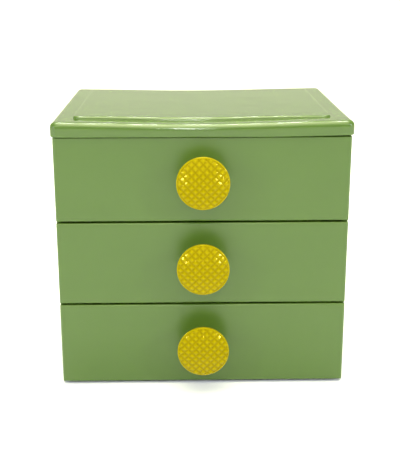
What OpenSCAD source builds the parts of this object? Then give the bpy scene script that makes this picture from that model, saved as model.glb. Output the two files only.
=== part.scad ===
// Desktop cabinet with three small drawers, moulded in plastic and snapped together.
// X runs to the right, Y to the back and Z up. The origin lies on the table, under the middle
// of the whole object with its knobs. The right half is drawn, and the left half mirrors it.

/* [Cabinet] */
// Width across the drawer fronts and the side panels
front_w = 180; // [150:1:220]
// Depth from the drawer fronts to the rear edges of the side panels
body_d = 151; // [125:1:190]
// Wall thickness of a side panel
side_t = 2.8; // [2.6:0.1:3.6]
// Width of the thick front edge of a side panel
side_rim_w = 3.5; // [3:0.1:5]
// Depth of that thick front edge
side_rim_d = 3; // [2:0.1:5]
// Rounding of the outer upright edges of the side panels
side_edge_r = 1.2; // [0.5:0.1:1.5]
// Thickness of the tongues that plug into the cover and the base
tongue_t = 1.6; // [1.2:0.1:1.8]
// Thickness of the back panel
back_t = 2; // [1.4:0.1:3]
// Rounding of the back panel's corners
back_corner_r = 1; // [0.5:0.1:2]
// Thickness of each of the two upright ribs that hold the back panel's edge
groove_rib_t = 1.6; // [1.2:0.1:2.4]
// How far those ribs reach in from the outer face of the side panel
groove_reach = 6.5; // [5:0.1:8]

/* [Drawer fronts] */
// Height of one drawer front
front_h = 52.3; // [45:0.1:70]
// Gap between two drawer fronts
front_gap = 1.1; // [0.8:0.1:2]
// Thickness of a drawer front
front_t = 2.6; // [2.4:0.1:4]
// Rounding of a front's upright edges
front_side_r = 1.8; // [1:0.1:2.2]
// Rounding of a front's level edges
front_edge_r = 0.9; // [0.5:0.1:1.5]
// Height of the lowest front above the underside of the base
front_rise = 0.5; // [0:0.1:1]

/* [Drawer trays] */
// Wall and floor thickness of a tray
tray_t = 1.8; // [1.4:0.1:2.4]
// How far a tray's rim lies below the top of its front
tray_drop = 5.8; // [4:0.1:20]
// Radius of a tray's upright corners, outside
tray_corner_r = 5; // [3:0.1:8]
// Radius between a tray's floor and its walls, outside
tray_floor_r = 3.2; // [2.5:0.1:4]
// How far the rim stands out from a tray's walls
rim_out = 0.8; // [0.4:0.1:1.2]
// Height of that rim
rim_h = 2.2; // [1.5:0.1:4]
// Width of the two skids under a tray
skid_w = 4; // [2:0.1:5]
// Height of the skids
skid_h = 1; // [0.6:0.1:2]

/* [Runners and stops] */
// Thickness of a runner ledge
ledge_t = 2; // [1.5:0.1:3]
// How far a runner ledge reaches in from the panel's wall
ledge_w = 11.2; // [10:0.1:16]
// Height of a ledge's underside above the lower edge of its drawer front
ledge_rise = 1; // [0.6:0.1:2]
// Slope at the front end of a ledge
ledge_lead = 1.2; // [0.6:0.1:1.4]
// Distance from the front plane to the stop that catches a drawer
stop_back = 24; // [10:0.5:60]
// Length of the stop along the drawer's path
stop_l = 3; // [2:0.1:6]
// Overlap in height between the stop and the tab that meets it
stop_hook = 2; // [1:0.1:3]
// Width of the tab on a tray's rear wall
tab_w = 3.4; // [2:0.1:3.8]
// Width of an upright guide rib on the inside of a side panel
guide_w = 3; // [2:0.1:6]
// Number of guide ribs on each side panel
guide_count = 3; // [2:1:5]

/* [Top cover] */
// Overhang of the cover on each side and at the back
lid_over = 1.2; // [0.4:0.1:3]
// Overhang of the cover in front of the drawer fronts
lid_lip = 1.9; // [1:0.1:5]
// Gap between the top drawer front and the cover
lid_gap = 0.6; // [0.4:0.1:1.5]
// Height of the cover's edge
lid_h = 8.6; // [6.5:0.1:12]
// Thickness of the cover's top wall
lid_t = 2.2; // [1.6:0.1:3]
// Radius of the rounded upper edge of the cover
lid_edge_r = 3.5; // [1:0.1:4]
// Radius of the cover's front corners, seen from above
lid_front_r = 4.2; // [4:0.1:6]
// Radius of the cover's rear corners, seen from above
lid_back_r = 5; // [4:0.1:10]
// Smallest radius of the corners inside the cover
lid_inner_r = 0.6; // [0.3:0.1:1]
// Height of the raised field on the cover
field_h = 1.2; // [0.6:0.1:1.6]
// Border between the raised field and the sides
field_side = 12.4; // [6:0.1:20]
// Border between the raised field and the cover's front edge
field_front = 14.7; // [8:0.1:30]
// Border between the raised field and the cover's rear edge
field_back = 13; // [6:0.1:20]
// Radius of the field's corners, seen from above
field_r = 4; // [2:0.1:8]
// Radius of the field's rounded upper edge
field_edge_r = 1; // [0.3:0.1:1]
// Thickness of the ribs under the cover
lid_rib_t = 1.6; // [1:0.1:2.5]
// Depth of the stiffening ribs under the cover
lid_rib_h = 2; // [1:0.1:2.5]

/* [Base and feet] */
// Height of a foot below the base
foot_h = 1.5; // [1:0.1:4]
// Diameter of a foot
foot_d = 12; // [8:0.5:20]
// Distance of a foot's middle from the side and the end of the base
foot_inset = 18; // [12:0.5:30]
// Depth of the pocket that holds a foot
foot_pocket = 0.8; // [0.4:0.1:1.2]
// Rounding of a foot's lower edge
foot_edge_r = 0.5; // [0.2:0.1:0.8]
// Thickness of the base
base_t = 2.2; // [1.6:0.1:2.8]
// Height of the lip that the side panels stand on, above the underside of the base
base_lip_h = 5; // [4:0.1:8]

/* [Knobs] */
// Diameter of a knob
knob_d = 32; // [26:0.5:40]
// Distance from the drawer front to the edge of the knob's cut face
knob_stand = 17.6; // [14:0.1:24]
// Height of the knob's middle above the edge of the cut face
knob_crown = 1.8; // [0.8:0.1:3]
// Width of the plain rim round the cut face
knob_rim = 1.1; // [0.8:0.1:2]
// Thickness of the knob's disc at its edge
knob_disc_t = 2.4; // [2:0.1:4]
// Diagonal of one diamond of the cut face
diamond = 4.61; // [3:0.01:8]
// Height of one diamond's point above its corners
diamond_h = 0.7; // [0.3:0.05:1.2]
// Diameter of the knob's neck
neck_d = 12; // [9:0.5:16]
// Diameter of the knob's foot on the drawer front
knob_foot_d = 17; // [14:0.5:20]
// Radius of the hollow curve between the neck and the knob's foot
neck_foot_r = 2.5; // [1:0.1:3]
// Height of the straight edge of the knob's foot
knob_foot_edge = 0.8; // [0.4:0.1:1.5]
// Radius of the hollow curve between the neck and the disc
neck_disc_r = 7; // [4:0.1:8]
// Height of the slope between that curve and the disc
knob_back_rise = 1.2; // [0.6:0.1:2]
// Rounding of the disc's rear edge
knob_back_r = 0.8; // [0.4:0.1:1.2]
// Rounding of the disc's front edge
knob_front_r = 1; // [0.4:0.1:1]
// Height of the plain rim above the edge of the cut face
knob_rim_rise = 0.4; // [0.2:0.1:0.8]
// Depth below its edge to which the cut face is solid
face_depth = 1.2; // [0.8:0.1:1.8]
// Height of the knob's middle above the middle of its drawer front
knob_rise = 1.5; // [0:0.1:5]

/* [Knob screws] */
// Diameter of the screw that holds a knob
screw_d = 3.5; // [3:0.1:4]
// Length of the screw below its head
screw_l = 12; // [8:0.5:14]
// Depth of the knob's bore past the end of the screw
bore_spare = 2; // [1:0.1:4]
// Diameter of the screw's head
screw_head_d = 7.4; // [6:0.1:8]
// Height of the screw's head
screw_head_h = 2.4; // [1.8:0.1:3]
// Diameter of the washer
washer_d = 10; // [8.5:0.1:12]
// Thickness of the washer
washer_t = 0.8; // [0.5:0.1:1.5]
// Diameter of the pad inside the drawer front that the washer bears on
pad_d = 15; // [12.5:0.5:20]
// Thickness of that pad
pad_t = 1; // [0.5:0.1:2]

/* [Clearances] */
// Gap under the skids of a tray
slide_gap = 0.3; // [0.2:0.05:0.6]
// Gap between a tray's rim and the thick front edge of a side panel
tray_gap = 0.7; // [0.4:0.05:1.5]
// Gap between a closed drawer front and the side panels
close_gap = 0.4; // [0.2:0.05:0.8]
// Gap between a closed tray and the ribs of the back panel's groove
tray_end_gap = 1; // [0.6:0.1:2]
// Gap above the tab as it passes under a ledge
tab_gap = 1; // [0.6:0.1:1.5]
// Gap round tongues, panels and feet in their slots
fit_gap = 0.1; // [0.05:0.01:0.2]
// Radial gap between the screw and the knob's bore
thread_gap = 0.05; // [0.03:0.01:0.1]
// Radial gap between the screw and the holes that it passes through
hole_gap = 0.35; // [0.2:0.05:0.5]

/* [Hidden] */

$fn = 64;
cut = 0.5;                       // how far a cutting shape reaches past what it cuts
TOP = 2;
MIDDLE = 1;
BOTTOM = 0;

green = [0.50, 0.61, 0.36];
yellow = [0.90, 0.80, 0.05];
steel = [0.72, 0.73, 0.75];
rubber = [0.16, 0.17, 0.17];

// Cut face of a knob: a shallow dome, and diamonds that stand on it, one of them in the middle
face_r = knob_d / 2 - knob_rim;
dome_r = (face_r * face_r + knob_crown * knob_crown) / (2 * knob_crown);
pitch = diamond / sqrt(2);
cells = 2 * ceil(face_r / pitch) + 1;
function dome(x, y) = knob_stand + sqrt(dome_r * dome_r - x * x - y * y) - (dome_r - knob_crown);
knob_reach = knob_stand + knob_crown + diamond_h;

// Planes along Y
front_y = knob_reach - (knob_reach + body_d + lid_over) / 2;
back_y = front_y + body_d;
side_y = front_y + front_t + close_gap;
lid_front_y = front_y - lid_lip;
lid_back_y = back_y + lid_over;
groove_y = back_y - groove_rib_t - back_t - 2 * fit_gap;
tray_end_y = groove_y - groove_rib_t - tray_end_gap;
stop_y = front_y + stop_back;

// Planes along X, on the right
half_w = front_w / 2;
wall_x = half_w - side_t;
tongue_x = wall_x + tongue_t;
ledge_x = wall_x - ledge_w;
tray_x = half_w - side_rim_w - tray_gap;
tray_wall_x = tray_x - rim_out;
tab_x = tray_wall_x - tray_corner_r;
skid_x = tray_wall_x - tray_floor_r - fit_gap;

// Heights
base_top = foot_h + base_t;
shoulder_z = foot_h + base_lip_h;
lid_z = level(TOP) + front_h + lid_gap;
lid_top = lid_z + lid_h;
lid_under = lid_top - lid_t;
lid_skirt_t = half_w + lid_over - tongue_x - fit_gap;
back_groove_x = half_w - groove_reach;

function level(i) = foot_h + front_rise + i * (front_h + front_gap);
function ledge_top(i) = level(i) + ledge_rise + ledge_t;
function tray_floor(i) = ledge_top(i) + slide_gap + skid_h;
function tray_top(i) = level(i) + front_h - tray_drop;
function roof(i) = level(i + 1) + ledge_rise;
function tab_top(i) = roof(i) - tab_gap;
function knob_z(i) = level(i) + front_h / 2 + knob_rise;

// ---- shapes that several pieces share ----

// The sliver between a square corner at the origin and the arc that rounds it
module corner_sliver(r) {
    difference() {
        translate([-cut, -cut]) square(r + cut);
        translate([r, r]) circle(r = r);
    }
}

// Rectangle from lo to hi with radii for its corners, counted round from the lowest
module soft_rect(lo, hi, r) {
    difference() {
        translate(lo) square(hi - lo);
        if (r[0] > 0) translate(lo) corner_sliver(r[0]);
        if (r[1] > 0) translate([hi[0], lo[1]]) mirror([1, 0]) corner_sliver(r[1]);
        if (r[2] > 0) translate(hi) rotate(180) corner_sliver(r[2]);
        if (r[3] > 0) translate([lo[0], hi[1]]) mirror([0, 1]) corner_sliver(r[3]);
    }
}

// Prisms: the outline is drawn in plan, in X-Z or in Y-Z
module upright(z0, z1) { translate([0, 0, z0]) linear_extrude(z1 - z0) children(); }
module lengthwise(y0, y1) { translate([0, y1, 0]) rotate([90, 0, 0]) linear_extrude(y1 - y0) children(); }
module crosswise(x0, x1) { translate([x0, 0, 0]) rotate([90, 0, 90]) linear_extrude(x1 - x0) children(); }
module block(lo, hi) { translate(lo) cube(hi - lo); }
module both_sides() {
    children();
    mirror([1, 0, 0]) children();
}

// Slab whose upper edge is rounded with one radius all the way round, corners included
module pillow(x, y0, y1, z0, z1, r_front, r_back, r_edge) {
    difference() {
        upright(z0, z1) soft_rect([-x, y0], [x, y1], [r_front, r_front, r_back, r_back]);
        lengthwise(y0 + r_front, y1 - r_back) {
            translate([x, z1]) rotate(180) corner_sliver(r_edge);
            translate([-x, z1]) mirror([0, 1]) corner_sliver(r_edge);
        }
        crosswise(-x + r_front, x - r_front) translate([y0, z1]) mirror([0, 1]) corner_sliver(r_edge);
        crosswise(-x + r_back, x - r_back) translate([y1, z1]) rotate(180) corner_sliver(r_edge);
        for (side = [0, 1]) mirror([side, 0, 0]) {
            translate([x - r_front, y0 + r_front, z1]) rotate(-90) corner_round(r_front, r_edge);
            translate([x - r_back, y1 - r_back, z1]) corner_round(r_back, r_edge);
        }
    }
}

// What rounding the upper edge takes off one corner of a slab
module corner_round(r_corner, r_edge) {
    rotate_extrude(angle = 90) intersection() {
        translate([r_corner, 0]) rotate(180) corner_sliver(r_edge);
        translate([0, -r_corner]) square(2 * r_corner);
    }
}

// Open box outline of a tray, rounded at its upright corners and round its floor
module tray_form(x, y0, y1, z0, z1, r_corner, r_floor) {
    intersection() {
        upright(z0, z1) soft_rect([-x, y0], [x, y1], [r_corner, r_corner, r_corner, r_corner]);
        lengthwise(y0 - cut, y1 + cut) soft_rect([-x, z0], [x, z1], [r_floor, r_floor, 0, 0]);
        crosswise(-x - cut, x + cut) soft_rect([y0, z0], [y1, z1], [r_floor, r_floor, 0, 0]);
    }
}

// Stop that hangs from z_top and catches the tab of drawer i, with a slope for pushing it in
module drawer_stop(i, z_top) {
    z_low = tab_top(i) - stop_hook;
    crosswise(ledge_x, tab_x + tab_gap) polygon([
        [stop_y - stop_l, z_top], [stop_y, z_top], [stop_y, z_low], [stop_y - stop_l / 2, z_low]]);
}

// ---- carcass ----

module side_panel() {
    upright(shoulder_z, lid_z) {
        soft_rect([wall_x, side_y], [half_w, back_y], [0, side_edge_r, side_edge_r, 0]);
        soft_rect([half_w - side_rim_w, side_y], [half_w, side_y + side_rim_d], [0, side_edge_r, 0, 0]);
        soft_rect([back_groove_x, back_y - groove_rib_t], [half_w, back_y], [0, 0, side_edge_r, 0]);
        translate([back_groove_x, groove_y - groove_rib_t]) square([groove_reach, groove_rib_t]);
    }
    tongue_lo = [wall_x, side_y + lid_skirt_t];
    tongue_hi = [tongue_x, groove_y];
    upright(base_top + fit_gap, lid_under - fit_gap) translate(tongue_lo) square(tongue_hi - tongue_lo);
    for (i = [MIDDLE, TOP]) {
        ledge(i);
        drawer_stop(i - 1, level(i) + ledge_rise + ledge_t / 2);
    }
    for (k = [1:guide_count]) guide_rib(side_y + k * (groove_y - side_y) / (guide_count + 1));
}

module ledge(i) {
    y0 = side_y + side_rim_d / 2;
    z1 = ledge_top(i);
    crosswise(ledge_x, wall_x + tongue_t / 2) polygon([
        [y0, z1 - ledge_t], [groove_y - groove_rib_t / 2, z1 - ledge_t],
        [groove_y - groove_rib_t / 2, z1], [y0 + ledge_lead, z1], [y0, z1 - ledge_lead]]);
}

module guide_rib(y) {
    upright(shoulder_z, lid_z) translate([half_w - side_rim_w, y - guide_w / 2])
        square([side_rim_w - side_t / 2, guide_w]);
}

module back_panel() {
    color(green) lengthwise(groove_y + fit_gap, groove_y + fit_gap + back_t)
        soft_rect([-wall_x + 2 * fit_gap, base_top + fit_gap], [wall_x - 2 * fit_gap, lid_under - fit_gap],
                  [back_corner_r, back_corner_r, back_corner_r, back_corner_r]);
}

module base_panel() {
    lip_x = tongue_x + fit_gap;
    rail_x = wall_x - 2 * fit_gap;
    color(green) difference() {
        union() {
            upright(foot_h, base_top) base_outline();
            upright(foot_h, shoulder_z) difference() {
                base_outline();
                translate([-lip_x, side_y - cut])
                    square([2 * lip_x, groove_y + back_t + 2 * fit_gap - side_y + cut]);
            }
            both_sides() block([ledge_x, side_y, foot_h], [rail_x, groove_y - groove_rib_t, ledge_top(BOTTOM)]);
            block([-rail_x, side_y, foot_h], [rail_x, side_y + groove_rib_t, ledge_top(BOTTOM)]);
            block([-rail_x, groove_y - groove_rib_t, foot_h], [rail_x, groove_y, ledge_top(BOTTOM)]);
        }
        for (x = [-1, 1], y = foot_rows)
            translate([x * foot_x, y, foot_h - cut]) cylinder(d = foot_d + 2 * fit_gap, h = foot_pocket + cut);
    }
}

module base_outline() {
    soft_rect([-half_w, side_y], [half_w, back_y], [side_edge_r, side_edge_r, side_edge_r, side_edge_r]);
}

foot_x = half_w - foot_inset;
foot_rows = [side_y + foot_inset, back_y - foot_inset];

module foot(side, row) {
    color(rubber) translate([side * foot_x, foot_rows[row], 0]) rotate_extrude()
        soft_rect([0, 0], [foot_d / 2, foot_h + foot_pocket], [0, foot_edge_r, 0, 0]);
}

// ---- top cover ----

module top_cover() {
    x = half_w + lid_over;
    field_x = x - field_side;
    field_y0 = lid_front_y + field_front;
    field_y1 = lid_back_y - field_back;
    color(green) {
        difference() {
            union() {
                pillow(x, lid_front_y, lid_back_y, lid_z, lid_top, lid_front_r, lid_back_r, lid_edge_r);
                pillow(field_x, field_y0, field_y1, lid_under + lid_t / 2, lid_top + field_h,
                       field_r, field_r, field_edge_r);
            }
            upright(lid_z - cut, lid_under) inset_rect(x, lid_front_y, lid_back_y, lid_skirt_t, lid_front_r);
            upright(lid_z - cut, lid_under + field_h) inset_rect(field_x, field_y0, field_y1, field_h, field_r);
        }
        both_sides() {
            side_channel_rib();
            drawer_stop(TOP, lid_under + lid_t / 2);
        }
        rear_channel_rib();
        stiffening_ribs(field_x - field_h / 2, field_y0 + field_h / 2, field_y1 - field_h / 2);
    }
}

// Rectangle that lies one wall inside another with rounded corners
module inset_rect(x, y0, y1, wall, r) {
    r_in = max(r - wall, lid_inner_r);
    soft_rect([-x + wall, y0 + wall], [x - wall, y1 - wall], [r_in, r_in, r_in, r_in]);
}

// Ribs that form slots under the cover for the side panels' tongues and for the back panel
module side_channel_rib() {
    x1 = wall_x - 2 * fit_gap;
    block([x1 - lid_rib_t, side_y + side_rim_d + cut, lid_z + lid_gap],
          [x1, groove_y - groove_rib_t - cut, lid_under + lid_t / 2]);
}
module rear_channel_rib() {
    y1 = groove_y - fit_gap;
    block([-back_groove_x + cut, y1 - lid_rib_t, lid_z + lid_gap], [back_groove_x - cut, y1, lid_under + lid_t / 2]);
}

module stiffening_ribs(x, y0, y1) {
    z1 = lid_under + field_h + lid_t / 2;
    z0 = lid_under + field_h - lid_rib_h;
    for (k = [-1, 1]) {
        block([k * x / 3 - lid_rib_t / 2, y0, z0], [k * x / 3 + lid_rib_t / 2, y1, z1]);
        y = (y0 + y1) / 2 + k * (y1 - y0) / 6;
        block([-x, y - lid_rib_t / 2, z0], [x, y + lid_rib_t / 2, z1]);
    }
}

// ---- drawers ----

module drawer(i) {
    wall_end_y = tray_end_y - rim_out;
    color(green) difference() {
        union() {
            drawer_front(i);
            difference() {
                union() {
                    tray_form(tray_wall_x, front_y + front_t / 2, wall_end_y, tray_floor(i), tray_top(i),
                              tray_corner_r, tray_floor_r);
                    tray_rim(i);
                }
                tray_form(tray_wall_x - tray_t, front_y + front_t, wall_end_y - tray_t,
                          tray_floor(i) + tray_t, tray_top(i) + cut,
                          tray_corner_r - tray_t, tray_floor_r - tray_t);
            }
            both_sides() {
                skid(i);
                stop_tab(i, wall_end_y);
            }
            translate([0, front_y + front_t + pad_t, knob_z(i)]) rotate([90, 0, 0])
                cylinder(d = pad_d, h = pad_t + front_t / 2);
        }
        translate([0, front_y + front_t + pad_t + cut, knob_z(i)]) rotate([90, 0, 0])
            cylinder(d = screw_d + 2 * hole_gap, h = front_t + pad_t + 2 * cut);
    }
}

// Flat front with all the edges of its outer face rounded
module drawer_front(i) {
    y1 = front_y + front_t;
    z0 = level(i);
    z1 = z0 + front_h;
    intersection() {
        lengthwise(front_y, y1)
            soft_rect([-half_w, z0], [half_w, z1], [front_edge_r, front_edge_r, front_edge_r, front_edge_r]);
        upright(z0 - cut, z1 + cut)
            soft_rect([-half_w, front_y], [half_w, y1], [front_side_r, front_side_r, 0, 0]);
        crosswise(-half_w - cut, half_w + cut)
            soft_rect([front_y, z0], [y1, z1], [front_edge_r, 0, 0, front_edge_r]);
    }
}

module tray_rim(i) {
    r = tray_corner_r + rim_out;
    upright(tray_top(i) - rim_h, tray_top(i))
        soft_rect([-tray_x, front_y + front_t / 2], [tray_x, tray_end_y], [0, 0, r, r]);
}

module skid(i) {
    z0 = tray_floor(i) - skid_h;
    y0 = front_y + front_t + skid_w;
    y1 = tray_end_y - tray_corner_r - skid_w;
    crosswise(skid_x - skid_w, skid_x)
        soft_rect([y0, z0], [y1, tray_floor(i) + tray_t / 2], [skid_h / 2, skid_h / 2, 0, 0]);
}

// Tab on the rear wall that meets the stop when the drawer is drawn out
module stop_tab(i, wall_end_y) {
    z0 = tray_top(i) - rim_h;
    z1 = tab_top(i);
    crosswise(tab_x - tab_w, tab_x) polygon([
        [wall_end_y - tray_t, z0], [wall_end_y, z0], [wall_end_y, z1 - stop_hook],
        [wall_end_y - tray_t / 3, z1], [wall_end_y - tray_t, z1]]);
}

// ---- knobs and their fixings, drawn facing up and then turned to the front ----

module on_front(i) { translate([0, front_y, knob_z(i)]) rotate([90, 0, 0]) children(); }

module knob(i) {
    bore_l = screw_l - pad_t - front_t - washer_t + bore_spare;
    color(yellow) on_front(i) {
        difference() {
            rotate_extrude() knob_profile();
            translate([0, 0, -cut]) cylinder(d = screw_d + 2 * thread_gap, h = bore_l + cut);
        }
        intersection() {
            cut_face();
            cylinder(r = face_r, h = 2 * knob_stand);
        }
    }
}

// Half of the knob's section: foot, neck with two hollow curves, and disc
module knob_profile() {
    neck_r = neck_d / 2;
    foot_r = knob_foot_d / 2;
    disc_z = knob_stand - knob_disc_t;
    back_z = disc_z - knob_back_rise;
    flare_r = neck_r + neck_disc_r;
    edge_z = disc_z + knob_back_r / 2;
    rim_z = knob_stand + knob_rim_rise;
    square([neck_r, disc_z]);
    difference() {
        square([foot_r, neck_foot_r + knob_foot_edge]);
        translate([neck_r + neck_foot_r, neck_foot_r + knob_foot_edge]) circle(r = neck_foot_r);
    }
    difference() {
        translate([0, back_z - neck_disc_r]) square([flare_r, neck_disc_r + knob_back_rise / 6]);
        translate([flare_r, back_z - neck_disc_r]) circle(r = neck_disc_r);
    }
    polygon([[0, back_z], [flare_r, back_z], [knob_d / 2 - knob_back_r, edge_z], [0, edge_z]]);
    difference() {
        soft_rect([0, disc_z], [knob_d / 2, rim_z], [0, knob_back_r, knob_front_r, 0]);
        translate([0, knob_stand - face_depth / 2]) square([face_r, face_depth / 2 + knob_rim_rise + cut]);
    }
}

// Field of square pyramids set on edge, whose corners lie on the dome
module cut_face() {
    n = cells;
    base_z = knob_stand - face_depth;
    function place(i, j) = [(i - j) * pitch / sqrt(2), (i + j - n) * pitch / sqrt(2)];
    function corner(i, j) = let (p = place(i, j)) [p[0], p[1], dome(p[0], p[1])];
    function point(i, j) = let (p = place(i + 0.5, j + 0.5)) [p[0], p[1], dome(p[0], p[1]) + diamond_h];
    function at(i, j) = i * (n + 1) + j;
    corners = [for (i = [0:n], j = [0:n]) corner(i, j)];
    points = [for (i = [0:n - 1], j = [0:n - 1]) point(i, j)];
    floor_corners = [for (ij = [[0, 0], [n, 0], [n, n], [0, n]]) concat(place(ij[0], ij[1]), base_z)];
    first_point = len(corners);
    first_floor = first_point + len(points);
    facets = [for (i = [0:n - 1], j = [0:n - 1])
        let (c = [at(i, j), at(i + 1, j), at(i + 1, j + 1), at(i, j + 1)])
        for (k = [0:3]) [c[(k + 1) % 4], c[k], first_point + i * n + j]];
    walls = [
        concat([for (i = [0:n]) at(i, 0)], [first_floor + 1, first_floor]),
        concat([for (j = [0:n]) at(n, j)], [first_floor + 2, first_floor + 1]),
        concat([for (i = [0:n]) at(n - i, n)], [first_floor + 3, first_floor + 2]),
        concat([for (j = [0:n]) at(0, n - j)], [first_floor, first_floor + 3])];
    under = [[for (k = [0:3]) first_floor + k]];
    polyhedron(points = concat(corners, points, floor_corners), faces = concat(facets, walls, under));
}

module knob_washer(i) {
    color(steel) on_front(i) translate([0, 0, -front_t - pad_t - washer_t]) difference() {
        cylinder(d = washer_d, h = washer_t);
        translate([0, 0, -cut]) cylinder(d = screw_d + 2 * hole_gap, h = washer_t + 2 * cut);
    }
}

module knob_screw(i) {
    head_r = screw_head_d / 2;
    slot_w = screw_head_d / 7;
    slot_l = screw_head_d * 0.6;
    seat_z = -front_t - pad_t - washer_t;
    color(steel) on_front(i) translate([0, 0, seat_z]) difference() {
        union() {
            cylinder(d = screw_d, h = screw_l);
            translate([0, 0, -screw_head_h]) rotate_extrude()
                soft_rect([0, 0], [head_r, screw_head_h], [0, screw_head_h / 2, 0, 0]);
        }
        for (a = [0, 90]) rotate(a) translate([-slot_l / 2, -slot_w / 2, -screw_head_h - cut])
            cube([slot_l, slot_w, screw_head_h / 2 + cut]);
    }
}

top_cover();
color(green) mirror([1, 0, 0]) side_panel();  // left_side_panel
color(green) side_panel();  // right_side_panel
back_panel();
base_panel();
drawer(TOP);  // top_drawer
drawer(MIDDLE);  // middle_drawer
drawer(BOTTOM);  // bottom_drawer
knob(TOP);  // top_knob
knob(MIDDLE);  // middle_knob
knob(BOTTOM);  // bottom_knob
knob_screw(TOP);  // top_knob_screw
knob_screw(MIDDLE);  // middle_knob_screw
knob_screw(BOTTOM);  // bottom_knob_screw
knob_washer(TOP);  // top_knob_washer
knob_washer(MIDDLE);  // middle_knob_washer
knob_washer(BOTTOM);  // bottom_knob_washer
foot(-1, 0);  // front_left_foot
foot(1, 0);  // front_right_foot
foot(-1, 1);  // rear_left_foot
foot(1, 1);  // rear_right_foot
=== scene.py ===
# %% [markdown]
# # Desktop mini drawers, dressed for a photograph
#
# The object is a small plastic cabinet for a desk: a carcass of moulded panels, three drawers
# with flat fronts, and a yellow knob on each. The construction arrives finished, in metres, as
# the fixed frame. This script gives every surface its finish, makes finer skins for the cover
# and the three knobs, and sets the camera and the lights.

# %% Load the fixed frame
import math

import bpy
import numpy as np
from mathutils import Matrix, Vector


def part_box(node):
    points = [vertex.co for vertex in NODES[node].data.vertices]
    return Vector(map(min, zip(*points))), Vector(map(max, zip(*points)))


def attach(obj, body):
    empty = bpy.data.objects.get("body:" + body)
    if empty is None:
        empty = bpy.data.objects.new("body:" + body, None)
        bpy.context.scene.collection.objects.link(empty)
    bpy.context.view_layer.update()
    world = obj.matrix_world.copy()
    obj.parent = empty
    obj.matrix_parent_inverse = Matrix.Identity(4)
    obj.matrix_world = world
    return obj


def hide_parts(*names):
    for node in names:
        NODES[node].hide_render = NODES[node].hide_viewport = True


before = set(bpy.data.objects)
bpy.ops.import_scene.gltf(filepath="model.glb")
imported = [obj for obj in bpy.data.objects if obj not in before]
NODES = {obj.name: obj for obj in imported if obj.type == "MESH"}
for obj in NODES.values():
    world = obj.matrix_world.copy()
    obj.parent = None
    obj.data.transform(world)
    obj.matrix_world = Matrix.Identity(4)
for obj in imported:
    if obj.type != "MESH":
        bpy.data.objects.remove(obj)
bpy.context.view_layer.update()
MM = 0.001
FRONT_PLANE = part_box("top_drawer")[0].y
LOWEST_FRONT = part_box("bottom_drawer")[0].z
print(f"{len(NODES)} nodes, front plane at {FRONT_PLANE / MM:.1f} mm")

# %% [markdown]
# ## Camera
#
# The picture was taken from a little above the cabinet and a finger's width to the left of its
# middle. A camera can be aimed at a target by a constraint, but the corners of the drawer fronts
# in the picture give more than its aim. So its place is written in real millimetres from the
# fronts, and its turn as three angles: down, to the right, and a tenth of a degree about its
# own axis.

# %% Camera
CAMERA_LEFT = 10.6 * MM
CAMERA_AHEAD = 543.7 * MM
CAMERA_UP = 260.2 * MM
PITCH_DOWN = math.radians(16.58)
YAW_RIGHT = math.radians(0.945)
ROLL = math.radians(-0.092)
LENS_MM, SENSOR_MM = 70.68, 36
NEAREST, FARTHEST = 0.02, 100


def add_camera():
    """Camera that looks along (sin yaw cos pitch, cos yaw cos pitch, -sin pitch), rolled about it."""
    data = bpy.data.cameras.new("studio_camera")
    camera = bpy.data.objects.new("studio_camera", data)
    bpy.context.scene.collection.objects.link(camera)
    data.lens, data.sensor_width = LENS_MM, SENSOR_MM
    data.clip_start, data.clip_end = NEAREST, FARTHEST
    turned = (Matrix.Rotation(-YAW_RIGHT, 4, "Z")
              @ Matrix.Rotation(math.pi / 2 - PITCH_DOWN, 4, "X")
              @ Matrix.Rotation(ROLL, 4, "Z"))
    place = (-CAMERA_LEFT, FRONT_PLANE - CAMERA_AHEAD, LOWEST_FRONT + CAMERA_UP)
    camera.matrix_world = Matrix.Translation(place) @ turned
    bpy.context.scene.camera = camera
    return camera


print("camera at", [round(c / MM, 1) for c in add_camera().location], "mm")

# %% [markdown]
# ## Helpers for materials
#
# A colour is written as the sRGB hex value that a paint program shows, and one function turns it
# to the linear numbers that the renderer works with. Another function adds any shader node, with
# its settings and what feeds its sockets, so each material below reads as a list of steps.

# %% Colour and node helpers


def linear(hex_colour):
    """sRGB to linear: c / 12.92 below 0.04045, otherwise ((c + 0.055) / 1.055) ** 2.4."""
    c = np.array([int(hex_colour[k:k + 2], 16) for k in (0, 2, 4)]) / 255
    return (*np.where(c <= 0.04045, c / 12.92, ((c + 0.055) / 1.055) ** 2.4), 1.0)


def add_node(tree, kind, sockets=None, **settings):
    """Adds one node. Each of sockets is a value to set or another node's output to link."""
    made = tree.nodes.new(kind)
    for name, value in settings.items():
        setattr(made, name, value)
    for name, value in (sockets or {}).items():
        if isinstance(value, bpy.types.NodeSocket):
            tree.links.new(value, made.inputs[name])
        else:
            made.inputs[name].default_value = value
    return made


def new_material(name, sockets):
    """A material, its node tree, its shader with these sockets set, and its Object coordinates."""
    material = bpy.data.materials.new(name)
    material.use_nodes = True
    tree = material.node_tree
    tree.nodes.clear()
    shader = add_node(tree, "ShaderNodeBsdfPrincipled", sockets)
    add_node(tree, "ShaderNodeOutputMaterial", {"Surface": shader.outputs["BSDF"]})
    place = add_node(tree, "ShaderNodeTexCoord").outputs["Object"]
    return material, tree, shader, place


print(f"middle grey 808080 is {linear('808080')[0]:.3f} in linear light")

# %% [markdown]
# ## Light green polypropylene
#
# The cabinet and its drawers are injection-moulded polypropylene: coloured right through, a
# little waxy, with a satin skin that gives a soft image of what stands in front of it. The mould
# leaves a fine orange peel about a millimetre across, and as the flat walls cool they shrink
# into long shallow waves, which break up the reflection of a lamp along an edge. Both are at
# most a tenth or so of a millimetre deep and don't show in the outline, so they are bumps in
# the material and not in the mesh. The colour is slightly uneven where the melt flowed. The
# cover's skin is glossier than the others', as from a more polished mould. Polypropylene has an
# index of refraction of about 1.49; a little more gives the soft reflections their strength.

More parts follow.
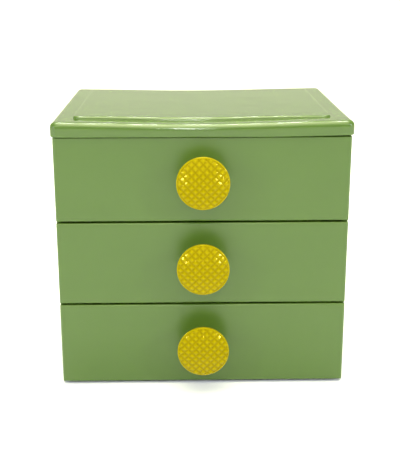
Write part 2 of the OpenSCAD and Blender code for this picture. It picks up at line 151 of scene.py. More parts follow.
# %% Green polypropylene
FLOW_MM = 55
WAVE_MM = 24
PEEL_MM = 1.4
PEEL_HEIGHT = 0.004 * MM
GREEN = "425e18"
GREEN_LIGHT = "46621c"


def green_plastic(name, roughness, wave_height):
    """Satin moulded polypropylene, with wave_height in metres for the long shrinkage waves."""
    material, tree, shader, place = new_material(name, {
        "Roughness": roughness, "IOR": 1.58, "Subsurface Weight": 0.35,
        "Subsurface Radius": (1.0, 1.2, 0.3), "Subsurface Scale": 1.5 * MM})
    flow, wave, peel = [
        add_node(tree, "ShaderNodeTexNoise", {"Vector": place, "Scale": 1 / (size * MM), "Detail": detail})
        for size, detail in ((FLOW_MM, 3.0), (WAVE_MM, 3.0), (PEEL_MM, 2.0))]
    tint = add_node(tree, "ShaderNodeMix", {
        "Factor": flow.outputs["Fac"], "A": linear(GREEN), "B": linear(GREEN_LIGHT)}, data_type="RGBA")
    long_bump = add_node(tree, "ShaderNodeBump", {"Height": wave.outputs["Fac"], "Distance": wave_height})
    fine_bump = add_node(tree, "ShaderNodeBump", {
        "Height": peel.outputs["Fac"], "Distance": PEEL_HEIGHT, "Normal": long_bump.outputs["Normal"]})
    tree.links.new(tint.outputs[2], shader.inputs["Base Color"])
    tree.links.new(fine_bump.outputs["Normal"], shader.inputs["Normal"])
    return material


COVER_PLASTIC = green_plastic("moulded_polypropylene_cover", 0.08, 0.15 * MM)
PANEL_PLASTIC = green_plastic("moulded_polypropylene_panels", 0.36, 0.06 * MM)
DRAWER_PLASTIC = green_plastic("moulded_polypropylene_drawers", 0.34, 0.06 * MM)
print([material.name for material in (COVER_PLASTIC, PANEL_PLASTIC, DRAWER_PLASTIC)])

# %% [markdown]
# ## Yellow ABS for the knobs
#
# The knobs are ABS from a polished mould, a harder and glossier plastic than the cabinet's. Each
# little facet of the face is a flat mirror of its own, so the gloss does most of the work.
# Light goes a little way into the plastic and comes out again at the tips, so the grooves look
# deeper in colour. Scattering under the surface would show this as well, but with much noise.
# So the colour is painted instead: the height within a diamond, kept with every point of the
# mesh, mixes two yellows, a darker one in the grooves as painted shade and a lighter one at the
# tips as painted light. The picture has hardly any white haze over the yellow, so the
# reflections are tinted too.

# %% Yellow ABS
# Painted shade in the grooves of the cut face, and painted light at its tips.
YELLOW_GROOVE_PAINTED_SHADE = "7c6d00"
YELLOW_TIP_PAINTED_LIGHT = "988b00"
YELLOW_SHINE = "ffe448"
POLISH_MM = 3
POLISH_HEIGHT = 0.01 * MM


def yellow_plastic():
    """Gloss moulded ABS: the colour follows cut_height, painted shade in the grooves and painted light at
    the tips; the mould's polish is faintly uneven.
    """
    material, tree, shader, place = new_material("moulded_abs_knob", {
        "Roughness": 0.07, "IOR": 1.53, "Specular Tint": linear(YELLOW_SHINE)})
    polish = add_node(tree, "ShaderNodeTexNoise", {
        "Vector": place, "Scale": 1 / (POLISH_MM * MM), "Detail": 2.0})
    bump = add_node(tree, "ShaderNodeBump", {"Height": polish.outputs["Fac"], "Distance": POLISH_HEIGHT})
    height = add_node(tree, "ShaderNodeAttribute", attribute_name="cut_height").outputs["Fac"]
    tint = add_node(tree, "ShaderNodeMix", {
        "Factor": height, "A": linear(YELLOW_GROOVE_PAINTED_SHADE), "B": linear(YELLOW_TIP_PAINTED_LIGHT)}, data_type="RGBA")
    tree.links.new(tint.outputs[2], shader.inputs["Base Color"])
    tree.links.new(bump.outputs["Normal"], shader.inputs["Normal"])
    return material


KNOB_PLASTIC = yellow_plastic()
print(KNOB_PLASTIC.name)

# %% [markdown]
# ## Zinc-plated steel and rubber
#
# The screws and washers show only inside an open drawer. They are steel with a thin bright zinc
# plating, slightly clouded, so a noise moves the roughness and leaves the colour alone. The feet
# are soft black rubber, cut from sheet, with a ground skin that is dull from every side. Its
# grit is drawn several times coarser than the real one, which is too fine to show.

# %% Steel and rubber
CLOUD_MM = 2.5
GRIT_MM = 0.5
GRIT_HEIGHT = 0.03 * MM
ZINC = "c9ccd1"
RUBBER_DARK = "232424"
RUBBER_LIGHT = "343535"


def zinc_steel():
    """Zinc-plated steel: a metal with clouded roughness."""
    material, tree, shader, place = new_material("zinc_plated_steel", {
        "Base Color": linear(ZINC), "Metallic": 1.0})
    cloud = add_node(tree, "ShaderNodeTexNoise", {
        "Vector": place, "Scale": 1 / (CLOUD_MM * MM), "Detail": 4.0})
    rough = add_node(tree, "ShaderNodeMapRange", {
        "Value": cloud.outputs["Fac"], "To Min": 0.22, "To Max": 0.42})
    tree.links.new(rough.outputs["Result"], shader.inputs["Roughness"])
    return material


def foot_rubber():
    """Matt black rubber with a fine ground skin."""
    material, tree, shader, place = new_material("sheet_rubber", {"Roughness": 0.8})
    grit = add_node(tree, "ShaderNodeTexNoise", {
        "Vector": place, "Scale": 1 / (GRIT_MM * MM), "Detail": 3.0})
    bump = add_node(tree, "ShaderNodeBump", {"Height": grit.outputs["Fac"], "Distance": GRIT_HEIGHT})
    tint = add_node(tree, "ShaderNodeMix", {
        "Factor": grit.outputs["Fac"], "A": linear(RUBBER_DARK), "B": linear(RUBBER_LIGHT)},
        data_type="RGBA")
    tree.links.new(tint.outputs[2], shader.inputs["Base Color"])
    tree.links.new(bump.outputs["Normal"], shader.inputs["Normal"])
    return material


STEEL = zinc_steel()
RUBBER = foot_rubber()
print(STEEL.name, RUBBER.name)

# %% [markdown]
# ## Which piece gets which finish
#
# The last word of a node's name says what the piece is: a knob, a screw, a foot. One table from
# that word to a finish covers all of them, and a new drawer would need no new line.

# %% Give each node its material
FINISHES = {
    "cover": COVER_PLASTIC, "panel": PANEL_PLASTIC, "drawer": DRAWER_PLASTIC, "knob": KNOB_PLASTIC,
    "screw": STEEL, "washer": STEEL, "foot": RUBBER}

for name, piece in NODES.items():
    piece.data.materials.clear()
    piece.data.materials.append(FINISHES[name.split("_")[-1]])
    print(name, "->", piece.data.materials[0].name)

# %% [markdown]
# ## Surfaces from arrays
#
# The cover and the knobs get finer skins, because their round edges and cut faces catch most of
# the light. They could be modelled by hand, but their sizes are known, so they are worked out as
# whole arrays. Most of them are a stack of rings: every ring is an array of points, and
# neighbouring rings are joined by four-sided faces. A fan of triangles closes each end, so that
# the surface has an inside and an outside. A part is (points, quads, triangles).

# %% Ring surfaces


def add_mesh(name, part, material):
    """Makes a smooth-shaded object at the origin from a part whose points are in metres."""
    points, quads, triangles = part
    mesh = bpy.data.meshes.new(name)
    mesh.from_pydata(points.tolist(), [], quads.tolist() + triangles.tolist())
    mesh.polygons.foreach_set("use_smooth", np.ones(len(mesh.polygons), dtype=bool))
    mesh.materials.append(material)
    piece = bpy.data.objects.new(name, mesh)
    bpy.context.scene.collection.objects.link(piece)
    return piece


def skin_rings(rings):
    """Joins rings (count, around, 3) into a closed part: point a of ring k is number k * around + a.

    The middle of each fan is the mean of its end ring.
    """
    count, around = rings.shape[:2]
    row, here = np.arange(count - 1)[:, None] * around, np.arange(around)
    after = (here + 1) % around
    quads = np.stack([row + here, row + after, row + around + after, row + around + here], -1)
    points = np.concatenate([rings.reshape(-1, 3), [rings[0].mean(0)], [rings[-1].mean(0)]])
    last, near_middle, far_middle = (count - 1) * around, count * around, count * around + 1
    near = np.stack([after, here, np.full(around, near_middle)], -1)
    far = np.stack([last + here, last + after, np.full(around, far_middle)], -1)
    return points, quads.reshape(-1, 4), np.concatenate([near, far])


def join_parts(parts):
    """One part from several: the corner numbers of each go up by the count of points before it."""
    points, quads, triangles = zip(*parts)
    starts = np.cumsum([0] + [len(some) for some in points])
    return (np.concatenate(points),
            np.concatenate([faces + start for faces, start in zip(quads, starts)]),
            np.concatenate([faces + start for faces, start in zip(triangles, starts)]))


def arc(middle, radius, start, end, steps):
    """Points of an arc in a section: middle + radius (cos a, sin a), a from start to end in degrees."""
    a = np.radians(np.linspace(start, end, steps))
    return np.stack([middle[0] + radius * np.cos(a), middle[1] + radius * np.sin(a)], -1)


def line(start, end, steps):
    """Points of a straight stretch of a section: start + s (end - start), with s from 0 to 1."""
    return np.linspace(start, end, steps)


print("a quarter turn in three points:", arc((0, 0), 1, 0, 90, steps=3).round(2).tolist())

# %% [markdown]
# ## The top cover
#
# The cover is a thin tray turned upside down, with a raised field on top. Its walls cooled at
# different rates, so the top sags in the middle, more at the border than on the field, and the
# front edge rises at the right end. The picture shows this against the straight drawer fronts.
# A lattice could bend the construction's own cover, but its few long faces don't bend smoothly,
# and its inside would move away from the panels. So the cover is made again from rings that
# follow its outline: they run from the middle of the underside, down the inside, round the lower
# edge and up over the top, and only the outer ones are warped.

# %% Cover sizes
COVER_NEAR, COVER_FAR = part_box("top_cover")
COVER_X = COVER_FAR.x
COVER_Y = (COVER_NEAR.y, COVER_FAR.y)
COVER_CORNERS = (4.2 * MM, 5 * MM)
COVER_ROUND = 3.5 * MM
COVER_LIP = 0.6 * MM
COVER_WALL = 2.3 * MM
COVER_THICK = 2.2 * MM
COVER_HIGH = 8.6 * MM
FIELD_SIDE, FIELD_FRONT, FIELD_BACK = 12.4 * MM, 14.7 * MM, 13 * MM
FIELD_X = COVER_X - FIELD_SIDE
FIELD_Y = (COVER_Y[0] + FIELD_FRONT, COVER_Y[1] - FIELD_BACK)
FIELD_CORNER = 4 * MM
FIELD_ROUND = 2.0 * MM
FIELD_ROUND_AT_SIDES = 0.4
FIELD_RISE = 1.2 * MM
FIELD_TOP = COVER_FAR.z
COVER_TOP = FIELD_TOP - FIELD_RISE
COVER_LOW = COVER_TOP - COVER_HIGH
UNDERSIDE = COVER_TOP - COVER_THICK
FIELD_UNDERSIDE = UNDERSIDE + FIELD_RISE
print(f"field {2 * FIELD_X / MM:.1f} by {(FIELD_Y[1] - FIELD_Y[0]) / MM:.1f} mm")

# %% Outlines of the cover and its field
ALONG, ROUND_CORNER = 48, 10
LEAST_CORNER = 0.6 * MM


def outline(half_x, ends, radii):
    """Rounded rectangle (points, 2), anticlockwise from above: for each corner, its side, then its arc.

    An arc has ROUND_CORNER points, and the side before it adds ALONG - 2. The ends are the least and
    the greatest y, and the radii belong to them.
    """
    (y0, y1), (r0, r1) = ends, radii
    corners = [((half_x - r0, y0 + r0), r0, -90), ((half_x - r1, y1 - r1), r1, 0),
               ((r1 - half_x, y1 - r1), r1, 90), ((r0 - half_x, y0 + r0), r0, 180)]
    turns = [arc(middle, r, start, start + 90, ROUND_CORNER) for middle, r, start in corners]
    sides = [line(turns[k - 1][-1], turns[k][0], ALONG)[1:-1] for k in range(4)]
    return np.concatenate([stretch for pair in zip(sides, turns) for stretch in pair])


def inset_outline(inset):
    """The cover's outline moved in by inset, with each corner's radius less by as much."""
    radii = [max(r - inset, LEAST_CORNER) for r in COVER_CORNERS]
    return outline(COVER_X - inset, (COVER_Y[0] + inset, COVER_Y[1] - inset), radii)


def field_outline(inset):
    """The field's outline moved in by inset in front and behind, and by a share of it at the sides."""
    radius = max(FIELD_CORNER - inset, LEAST_CORNER)
    half_x = FIELD_X - FIELD_ROUND_AT_SIDES * inset
    return outline(half_x, (FIELD_Y[0] + inset, FIELD_Y[1] - inset), (radius, radius))


print(len(inset_outline(0)), "points in each ring")

# %% Rings between outlines


def at_height(flat, z):
    """A ring of outline points lifted to the height z."""
    return np.column_stack([flat, np.full(len(flat), z)])


def blend(near, far, steps):
    """Rings between two rings, without the first: near + s (far - near) for s up to 1."""
    return [near + s * (far - near) for s in np.linspace(0, 1, steps + 1)[1:]]


def to_middle(ring, steps):
    """Rings that shrink towards the mean: middle + s (ring - middle), s from 1 down to 1 / steps."""
    middle = ring.mean(0)
    return [middle + s * (ring - middle) for s in np.linspace(1, 0, steps + 1)[1:-1]]


print("rings from edge to middle in 4 steps:", len(to_middle(at_height(field_outline(0), 0), steps=4)))

# %% [markdown]
# ### How the cover warped
#
# The measures below, in millimetres, were fitted to the cover's outline in the picture. A sag is
# a bell across the width that grows deeper and wider towards the back. A lift takes some of the
# fall away towards the right end. Formulas keep the surface smooth, where points that are moved
# by hand would dent it.

# %% Warp of the cover
BORDER_SAG = {"depth": (1.45, 0.4), "middle": -8, "half": (95, 13)}
FIELD_SAG = {"depth": (0.9, 0.3), "middle": -5, "half": (62, 28)}
BORDER_LIFT = {"height": 0.5, "start": 40, "reach": 50}
LIP_LIFT = {"height": 0.95, "start": 30, "reach": 61}
LIP_DROP = 0.55
LIP_REACH = 5 * MM
LIFT_FADE = 3


def sag(x, back, depth, middle, half):
    """(d0 + d1 back) cos^2, which is 0 from (h0 + h1 back) away; back runs from 0 in front to 1."""
    away = (x - middle) / (half[0] + half[1] * back)
    return (depth[0] + depth[1] * back) * np.cos(math.pi / 2 * np.clip(away, -1, 1)) ** 2


def lift(x, height, start, reach):
    """height s^2, with s from 0 at start to 1 after reach."""
    return height * np.clip((x - start) / reach, 0, 1) ** 2


def warp(points):
    """How far the cooled skin lies below the moulded shape, in metres.

    The border and the field each sag in a bell, the border more. The front lip hangs low and rises to
    the right. A point's height blends from the lip's fall to the border's, and from there to the field's.
    """
    x, y, z = points[..., 0] / MM, points[..., 1], points[..., 2]
    back = (y - COVER_Y[0]) / (COVER_Y[1] - COVER_Y[0])
    near = np.clip(1 - (y - COVER_Y[0]) / LIP_REACH, 0, 1)
    border = sag(x, back, **BORDER_SAG) - np.clip(1 - LIFT_FADE * back, 0, 1) * lift(x, **BORDER_LIFT)
    field = sag(x, back, **FIELD_SAG)
    lip = near * (LIP_DROP - lift(x, **LIP_LIFT))
    up = np.clip((z - COVER_LOW) / (COVER_TOP - COVER_ROUND - COVER_LOW), 0, 1)
    onto = np.clip((z - COVER_TOP) / (FIELD_TOP - COVER_TOP), 0, 1)
    return MM * (lip + up * (border - lip) + onto * (field - border))


middle_of_front = np.array([0, COVER_Y[0] + FIELD_FRONT / 2, COVER_TOP])
print(f"the border sags {warp(middle_of_front) / MM:.2f} mm in the middle of the front")

# %% [markdown]
# ### Ribs under the cover
#
# From below, the real cover would show ribs: they hold the tongues of the panels, stop the top
# drawer and stiffen the field. Plain boxes that reach a little way into the top do for them.

# %% Sizes of the ribs
RIB_LOW = COVER_LOW + 0.6 * MM
RIB_INTO_TOP = 0.3 * MM
REAR_PLANE = COVER_Y[1] - 1.2 * MM
BACK_RIB_X = 83.0 * MM
BACK_RIB_Y = (REAR_PLANE - 5.5 * MM, REAR_PLANE - 3.9 * MM)
SIDE_RIB_X = (85.4 * MM, 87.0 * MM)
SIDE_RIB_Y = (FRONT_PLANE + 6.5 * MM, REAR_PLANE - 5.9 * MM)
STOP_X = (76.0 * MM, 81.0 * MM)
STOP_Y = (FRONT_PLANE + 21 * MM, FRONT_PLANE + 24 * MM)
RECESS_EDGE = 0.6 * MM
STIFFENER_HALF = 0.8 * MM
STIFFENER_DEPTH = 2 * MM
print(f"the side panels' ribs are {(SIDE_RIB_Y[1] - SIDE_RIB_Y[0]) / MM:.1f} mm long")

# %% Boxes for the ribs


def box_part(low, high):
    """A box: bit 0, 1 or 2 of a corner's number says whether its x, y or z is the high one."""
    bits = np.arange(8)[:, None] >> np.arange(3) & 1
    quads = np.array([[0, 2, 3, 1], [4, 5, 7, 6], [0, 1, 5, 4], [2, 6, 7, 3], [0, 4, 6, 2], [1, 3, 7, 5]])
    return np.where(bits, high, low), quads, np.empty((0, 3), int)


def cover_ribs():
    """A rib for the back panel, one for each side panel, two stops and four stiffeners.

    The stiffeners stand a third of the field's half width and a sixth of its length from its middle.
    """
    rib_top = UNDERSIDE + RIB_INTO_TOP
    low, high = FIELD_UNDERSIDE - STIFFENER_DEPTH, FIELD_UNDERSIDE + RIB_INTO_TOP
    recess_x = FIELD_X - RECESS_EDGE
    recess_y = (FIELD_Y[0] + RECESS_EDGE, FIELD_Y[1] - RECESS_EDGE)
    ribs = [((-BACK_RIB_X, BACK_RIB_Y[0], RIB_LOW), (BACK_RIB_X, BACK_RIB_Y[1], rib_top))]
    for side in (-1, 1):
        for reach, ends, z in ((SIDE_RIB_X, SIDE_RIB_Y, RIB_LOW), (STOP_X, STOP_Y, COVER_NEAR.z)):
            x0, x1 = sorted(side * x for x in reach)
            ribs.append(((x0, ends[0], z), (x1, ends[1], rib_top)))
        x = side * recess_x / 3
        y = sum(recess_y) / 2 + side * (recess_y[1] - recess_y[0]) / 6
        ribs.append(((x - STIFFENER_HALF, recess_y[0], low), (x + STIFFENER_HALF, recess_y[1], high)))
        ribs.append(((-recess_x, y - STIFFENER_HALF, low), (recess_x, y + STIFFENER_HALF, high)))
    return [box_part(*rib) for rib in ribs]


print(len(cover_ribs()), "ribs and stops")

# %% Build the cover


def inner_rings():
    """Unwarped rings from the middle of the recess under the field, out, and down inside the wall."""
    recess = at_height(field_outline(FIELD_ROUND), FIELD_UNDERSIDE)
    rings = to_middle(recess, steps=12)[::-1] + [recess, at_height(field_outline(FIELD_ROUND), UNDERSIDE)]
    rings += blend(rings[-1], at_height(inset_outline(COVER_WALL), UNDERSIDE), steps=3)
    rings += blend(rings[-1], at_height(inset_outline(COVER_WALL), COVER_LOW), steps=3)
    return np.array(rings)


def outer_rings():
    """Warped rings round the lower edge, up the apron, over the border and onto the field's middle."""
    lip = arc((COVER_LIP, COVER_LOW + COVER_LIP), COVER_LIP, 270, 180, steps=6)
    shoulder = arc((COVER_ROUND, COVER_TOP - COVER_ROUND), COVER_ROUND, 180, 90, steps=15)
    crest = arc((1, 0), 1, 180, 90, steps=11) * (FIELD_ROUND, FIELD_TOP - COVER_TOP) + (0, COVER_TOP)
    rings = [at_height(inset_outline(inset), z) for inset, z in lip]
    rings += blend(rings[-1], at_height(inset_outline(0), COVER_TOP - COVER_ROUND), steps=4)
    rings += [at_height(inset_outline(inset), z) for inset, z in shoulder[1:]]
    rings += blend(rings[-1], at_height(field_outline(0), COVER_TOP), steps=6)
    rings += [at_height(field_outline(inset), z) for inset, z in crest]
    rings = np.array(rings + to_middle(rings[-1], steps=40))
    rings[..., 2] -= warp(rings)
    return rings


def add_cover():
    """The cover's closed skin and its ribs, in place of the construction's cover."""
    skin = skin_rings(np.concatenate([inner_rings(), outer_rings()]))
    piece = add_mesh("top_cover_moulding", join_parts([skin] + cover_ribs()), COVER_PLASTIC)
    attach(piece, "cabinet")
    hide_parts("top_cover")
    return piece


cover = add_cover()
print(cover.name, len(cover.data.polygons), "faces")

# %% [markdown]
# ## A knob
#
# The knob is turned in shape: a foot on the drawer front, a neck between two hollow curves, and
# a disc. A curve with the Screw modifier could turn it too, but an array shares its measures
# with the face that sits in it. So its section is written as arcs and straight stretches of
# (radius, height above the drawer front), and one turn of that section gives the body. A narrow
# plain rim stands round the face.

# %% Knob sizes
KNOB_R = 16 * MM
KNOB_FOOT_R = 8.5 * MM
NECK_R = 6 * MM
FOOT_HOLLOW_R = 2.5 * MM
DISC_HOLLOW_R = 7 * MM
FOOT_EDGE = 0.8 * MM
DISC_BACK = 14 * MM
DISC_BACK_ROUND = 2.4 * MM
RIM_TOP = 17.75 * MM
RIM_ROUND = 0.7 * MM
RIM_INNER_ROUND = 0.2 * MM
FACE_R = 15.1 * MM
SEAT = 16.6 * MM
FIRST_RING_R = 0.5 * MM
FIRST_EDGE = 0.1 * MM
KNOB_AROUND = 128

# %% Turned body of a knob


def knob_section():
    """(radius, height): foot, hollow curve, neck, hollow curve, elliptical back, rim, seat."""
    foot_mid = (NECK_R + FOOT_HOLLOW_R, FOOT_EDGE + FOOT_HOLLOW_R)
    disc_mid = (NECK_R + DISC_HOLLOW_R, DISC_BACK - DISC_HOLLOW_R)
    back_mid = (disc_mid[0], DISC_BACK + DISC_BACK_ROUND)
    back = arc((0, 0), 1, -90, 0, steps=13) * (KNOB_R - back_mid[0], DISC_BACK_ROUND) + back_mid
    inner_mid = (FACE_R + RIM_INNER_ROUND, RIM_TOP - RIM_INNER_ROUND)
    return np.concatenate([
        line((FIRST_RING_R, 0), (KNOB_FOOT_R, 0), steps=4),
        line((KNOB_FOOT_R, FIRST_EDGE), (KNOB_FOOT_R, FOOT_EDGE), steps=3),
        arc(foot_mid, FOOT_HOLLOW_R, 270, 180, steps=13)[1:],
        arc(disc_mid, DISC_HOLLOW_R, 180, 90, steps=19),
        back[1:],
        arc((KNOB_R - RIM_ROUND, RIM_TOP - RIM_ROUND), RIM_ROUND, 0, 90, steps=9),
        arc(inner_mid, RIM_INNER_ROUND, 90, 180, steps=5),
        line((FACE_R, SEAT), (FIRST_RING_R, SEAT), steps=4)])


def turn(section, around):
    """Turns (radius, height) about the knob's axis: (-r sin a, -height, r cos a) for a all round."""
    a = np.linspace(0, 2 * math.pi, around, endpoint=False)
    r, h = section[:, :1], section[:, 1:]
    return np.stack([-r * np.sin(a), -h + 0 * a, r * np.cos(a)], -1)


print(len(knob_section()), "points in the section")

# %% [markdown]
# ## The cut face
#
# The face is a shallow dome covered with small square pyramids that stand on a corner, so their
# edges cross it diagonally. Within one diamond, with a and b running from -1 to 1 between its
# opposite edges, a sharp pyramid is 1 - max(|a|, |b|). The mould's cutter and its polish leave
# the ridges slightly round and the tips blunt, so a smooth maximum takes the place of the sharp
# one. One diamond stands in the middle of the knob. A bump in the material would be less work,
# but the diamonds are over half a millimetre high, and each has to mirror the lamps as a real
# slope does.

# %% Height of the cut face
DOME_RISE = 1.8 * MM
DOME_EDGE = 17.55 * MM
DIAMOND = 4.61 * MM
DIAMOND_RISE = 0.72 * MM
RIDGE_SHARPNESS = 14
TIP_BLUNTING = 1e-12
DEEPEST_GROOVE = -0.02


def pyramid(x, z):
    """Height within a diamond: 1 - (|a|^n + |b|^n + t)^(1/n), about 0 in a groove and 0.86 at the tip.

    The sharpness is n, and t, the blunting, takes its n-th root of 0.14 off the tip. Where four grooves
    meet, the formula dips below them, and DEEPEST_GROOVE is as low as the face goes.
    """
    a, b = [2 * np.abs(c - np.round(c)) for c in ((x + z) / DIAMOND, (x - z) / DIAMOND)]
    n = RIDGE_SHARPNESS
    return np.maximum(1 - (a ** n + b ** n + TIP_BLUNTING) ** (1 / n), DEEPEST_GROOVE)


def face_height(x, z):
    """Dome, a sphere's cap through the face's edge, plus the pyramids."""
    sphere_r = (FACE_R ** 2 + DOME_RISE ** 2) / (2 * DOME_RISE)
    dome = DOME_EDGE + np.sqrt(sphere_r ** 2 - x ** 2 - z ** 2) - (sphere_r - DOME_RISE)
    return dome + DIAMOND_RISE * pyramid(x, z)


print(f"the tip in the middle stands {face_height(0.0, 0.0) / MM:.2f} mm above the drawer front")

# %% Mesh of the cut face
STEPS_PER_SIDE = 16
PLUG_R = FACE_R + 0.08 * MM
PLUG_BOTTOM = SEAT + 0.05 * MM


def cut_face():
    """Square grid in line with the diamonds' edges, trimmed to a circle, and closed as a plug.

    Points just outside the circle move in to it. The edges that only one face uses make the rim, and
    a wall down from it and a fan close the plug.
    """
    side = DIAMOND / math.sqrt(2) / STEPS_PER_SIDE
    reach = math.ceil(PLUG_R / side) + 1
    n = 2 * reach + 1
    steps = np.arange(-reach, reach + 1) * side
    u, v = np.meshgrid(steps, steps, indexing="ij")
    x, z = (u + v) / math.sqrt(2), (u - v) / math.sqrt(2)
    r = np.hypot(x, z)
    i, j = np.meshgrid(np.arange(n - 1), np.arange(n - 1), indexing="ij")
    first = i * n + j
    quads = np.stack([first, first + 1, first + n + 1, first + n], -1).reshape(-1, 4)
    quads = quads[(r.ravel() < PLUG_R)[quads].sum(1) >= 2]
    pull = np.minimum(1, PLUG_R / np.maximum(r, side))
    x, z = x * pull, z * pull
    points = np.stack([x, -face_height(x, z), z], -1).reshape(-1, 3)
    used, numbers = np.unique(quads, return_inverse=True)
    return close_plug(points[used], numbers.reshape(-1, 4))


def close_plug(points, quads):
    """Adds the wall and the fan: point k of the face has point count + k below it, at the bottom."""
    count = len(points)
    edges = np.stack([quads, np.roll(quads, -1, 1)], -1).reshape(-1, 2)
    forward, backward = edges @ (count, 1), edges @ (1, count)
    start, end = edges[~np.isin(forward, backward)].T
    wall = np.stack([end, start, start + count, end + count], -1)
    fan = np.stack([end + count, start + count, np.full(len(start), 2 * count)], -1)
    below = points * (1, 0, 1) - (0, PLUG_BOTTOM, 0)
    points = np.concatenate([points, below, [[0, -PLUG_BOTTOM, 0]]])
    corners = np.concatenate([quads.ravel(), wall.ravel(), fan.ravel()])
    used, numbers = np.unique(corners, return_inverse=True)
    fan_start = quads.size + wall.size
    return points[used], numbers[:fan_start].reshape(-1, 4), numbers[fan_start:].reshape(-1, 3)


print(len(cut_face()[0]), "points in a cut face")

# %% Build the three knobs
PLAIN_HEIGHT = 0.6
FACE_MARGIN = 0.01 * MM


def add_knob(name, body, middle):
    """Puts the turned body and the cut face together at middle, the knob's place on the drawer front.

    Points of the face keep their pyramid height as cut_height, and all others keep PLAIN_HEIGHT.
    """
    points, quads, triangles = join_parts([skin_rings(turn(knob_section(), KNOB_AROUND)), cut_face()])
    piece = add_mesh(name, (points + middle, quads, triangles), KNOB_PLASTIC)
    x, y, z = points.T
    on_face = (y < -DOME_EDGE) & (np.hypot(x, z) < PLUG_R + FACE_MARGIN)
    # cut_height sets the painted shade in the grooves and the painted light at the tips.
    height = np.where(on_face, pyramid(x, z), PLAIN_HEIGHT)
    piece.data.attributes.new("cut_height", "FLOAT", "POINT").data.foreach_set("value", height)
    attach(piece, body)
    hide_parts(name.replace("_moulding", ""))
    return piece


for level in ("top", "middle", "bottom"):
    low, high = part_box(f"{level}_knob")
    centre = ((low.x + high.x) / 2, FRONT_PLANE, (low.z + high.z) / 2)
    knob = add_knob(f"{level}_knob_moulding", f"{level}_drawer", centre)
    print(knob.name, len(knob.data.polygons), "faces")

# %% [markdown]
# ## Studio
#
# A pale sweep and broad, slightly warm light from all sides, as in a light tent, with a brighter
# band overhead. Two softboxes from the upper front light the tops of the knobs. Small bright
# lamps do the rest: one at each side for the sparks on the knobs, one above the camera for the
# streak on the cover's shoulder, and an uneven row overhead that breaks the light along the
# cover's edges. A picture of a studio could light the scene in one step, but lamps can be moved
# one at a time until each glint stands about where the photograph has it.

# %% Floor
FLOOR_HALF = 60.0


def add_floor():
    """A pale square, FLOOR_HALF to each side, that belongs to the studio and not to the object."""
    mesh = bpy.data.meshes.new("studio_floor")
    corners = [(x * FLOOR_HALF, y * FLOOR_HALF, 0) for x, y in ((-1, -1), (1, -1), (1, 1), (-1, 1))]
    mesh.from_pydata(corners, [], [(0, 1, 2, 3)])
    floor = bpy.data.objects.new("studio_floor", mesh)
    bpy.context.scene.collection.objects.link(floor)
    mesh.materials.append(new_material("white_sweep", {
        "Base Color": (0.86, 0.86, 0.92, 1), "Roughness": 0.9, "Specular IOR Level": 0.0})[0])
    return floor


print(add_floor().name)

# %% Light tent
HORIZON, OVERHEAD, BAND = 0.87, 8.0, 0.24
BAND_POWER = 3.0
BAND_AHEAD, BAND_FADE = 1.3, -1.5
HORIZON_COLOUR = (1, 1, 0.77, 1)
OVERHEAD_COLOUR = (1, 1, 0.65, 1)


def add_world():
    """Slightly warm surroundings of strength HORIZON, and a soft band from the camera over to the back.

    For a direction (x, y, z) the band's strength is OVERHEAD z^3 exp(-(x / BAND)^2) (1.3 - 1.5 y), with
    the last factor held to 0..1.
    """
    world = bpy.data.worlds.new("light_tent")
    bpy.context.scene.world = world
    world.use_nodes = True
    tree = world.node_tree
    tree.nodes.clear()
    look = add_node(tree, "ShaderNodeTexCoord").outputs["Generated"]
    x, y, z = add_node(tree, "ShaderNodeSeparateXYZ", {"Vector": look}).outputs

    def maths(operation, *values, **settings):
        """One step of the formula."""
        step = add_node(tree, "ShaderNodeMath", dict(enumerate(values)), operation=operation, **settings)
        return step.outputs[0]

    across = maths("EXPONENT", maths("MULTIPLY", maths("MULTIPLY", x, x), -1 / BAND ** 2))
    ahead = maths("MULTIPLY_ADD", y, BAND_FADE, BAND_AHEAD, use_clamp=True)
    raised = maths("POWER", maths("MAXIMUM", z, 0.0), BAND_POWER)
    band = maths("MULTIPLY", maths("MULTIPLY", across, ahead), raised)
    tent = add_node(tree, "ShaderNodeBackground", {"Color": HORIZON_COLOUR, "Strength": HORIZON})
    above = add_node(tree, "ShaderNodeBackground", {
        "Color": OVERHEAD_COLOUR, "Strength": maths("MULTIPLY", band, OVERHEAD)})
    both = add_node(tree, "ShaderNodeAddShader", {0: tent.outputs[0], 1: above.outputs[0]})
    add_node(tree, "ShaderNodeOutputWorld", {"Surface": both.outputs[0]})
    return world


print(add_world().name)

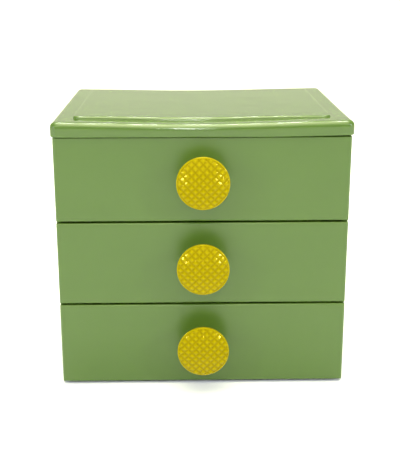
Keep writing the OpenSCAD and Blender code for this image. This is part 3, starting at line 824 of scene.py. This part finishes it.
# %% Lamps
MIDDLE = (0, 0, 0.09)
AWAY = 1.6
SIDES = (("left", -1), ("right", 1))
SIDE_LAMP_OUT, SIDE_LAMP_UP = 50.4, 19
SOFTBOX_OUT, SOFTBOX_UP = 38, 36
CAMERA_LAMP_PLACE = (-CAMERA_LEFT, -1.0, 0.55)
SIDE_LAMP = {"width": 0.13, "height": 0.24, "radiance": 68, "colour": (0.9, 0.95, 1.3)}
CAMERA_LAMP = {"width": 0.05, "height": 0.04, "radiance": 170}
SOFTBOX = {"width": 1.1, "height": 0.36, "radiance": 1.7}
ROW_LAMP = {"width": 0.006, "height": 0.08, "radiance": 120}


def add_lamp(name, place, target, width, height, radiance, colour=(1, 1, 1)):
    """One rectangular soft light that faces target; its power is radiance times pi times its area."""
    data = bpy.data.lights.new(name, "AREA")
    data.shape, data.size, data.size_y = "RECTANGLE", width, height
    data.energy = radiance * math.pi * width * height
    data.color = colour
    lamp = bpy.data.objects.new(name, data)
    lamp.location = place
    lamp.rotation_euler = (Vector(target) - Vector(place)).to_track_quat("-Z", "Y").to_euler()
    bpy.context.scene.collection.objects.link(lamp)
    print(name, "at", [round(c, 2) for c in lamp.location], "m")


def around(azimuth, elevation):
    """A place AWAY from MIDDLE, at an azimuth from the front, left negative, and an elevation.

    In radians: MIDDLE + AWAY (sin a cos e, -cos a cos e, sin e).
    """
    a, e = math.radians(azimuth), math.radians(elevation)
    look = Vector((math.sin(a) * math.cos(e), -math.cos(a) * math.cos(e), math.sin(e)))
    return Vector(MIDDLE) + AWAY * look


for word, side in SIDES:
    add_lamp(f"{word}_lamp", around(side * SIDE_LAMP_OUT, SIDE_LAMP_UP), MIDDLE, **SIDE_LAMP)
add_lamp("camera_lamp", CAMERA_LAMP_PLACE, MIDDLE, **CAMERA_LAMP)
for word, side in SIDES:
    add_lamp(f"{word}_softbox", around(side * SOFTBOX_OUT, SOFTBOX_UP), MIDDLE, **SOFTBOX)

# %% Uneven row of lamps overhead
LAMP_ROW = 16
LAMP_SPACING = 26 * MM
LAMP_SHIFT = 0.35
ROW_BACK, ROW_DEPTH, ROW_UP = 0.22, 0.06, 0.8

for k, (shift, deep) in enumerate(np.random.default_rng(5).uniform(-1, 1, (LAMP_ROW, 2))):
    x = (k + LAMP_SHIFT * shift - (LAMP_ROW - 1) / 2) * LAMP_SPACING
    y = ROW_BACK + ROW_DEPTH * deep
    add_lamp(f"row_lamp_{k + 1:02d}", (x, y, ROW_UP), (x, y, 0), **ROW_LAMP)
bpy.context.scene.view_settings.view_transform = "Standard"
